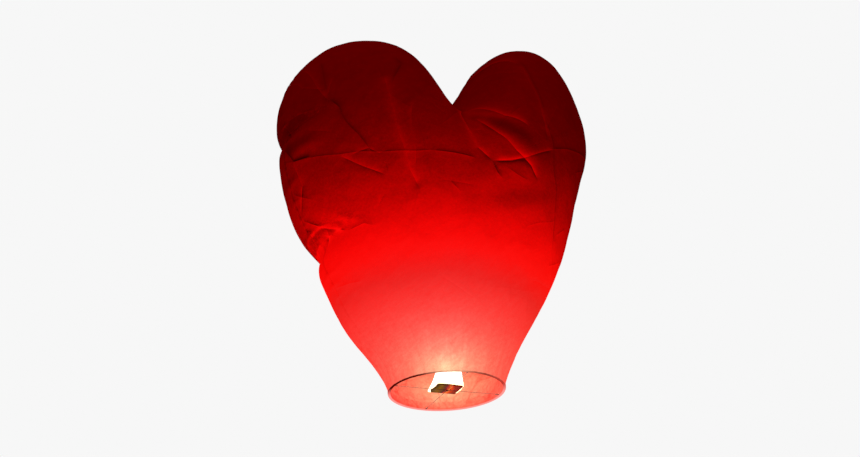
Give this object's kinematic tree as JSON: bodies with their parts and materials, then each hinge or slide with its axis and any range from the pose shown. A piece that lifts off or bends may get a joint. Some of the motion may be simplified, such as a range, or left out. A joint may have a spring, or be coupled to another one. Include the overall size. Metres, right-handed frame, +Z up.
{
  "type": "sky lantern",
  "caption": "Heart-shaped paper sky lantern with a bamboo hoop at its mouth, crossed wires and a wax fuel cell that lifts off its prongs.",
  "frame": {"origin": "centre of the mouth, in the plane that the hem rests on", "axes": "+Z up through the envelope, +X towards one lobe of the heart, -Y towards the front panel"},
  "size_m": [0.836, 0.6128, 0.9498],
  "materials": {
    "tissue_paper": "matte",
    "bamboo": "satin",
    "steel_wire": "satin",
    "waxed_board": "satin"
  },
  "bodies": {
    "lantern": {"front_panel": "tissue_paper", "back_panel": "tissue_paper", "mouth_hem": "tissue_paper", "bamboo_ring": "bamboo", "splice_binding_1": "steel_wire", "splice_binding_2": "steel_wire", "cross_wire_a": "steel_wire", "cross_wire_b": "steel_wire", "centre_tie": "steel_wire", "fuel_fork": "steel_wire"},
    "fuel_cell": {"fuel_sheet_1": "waxed_board", "fuel_sheet_2": "waxed_board", "fuel_sheet_3": "waxed_board", "fuel_sheet_4": "waxed_board"}
  },
  "joints": [
    {"name": "fuel_cell_lift", "type": "slide", "parent": "lantern", "child": "fuel_cell", "axis": [0, 0, 1], "range_m": [0, 0.03]}
  ]
}
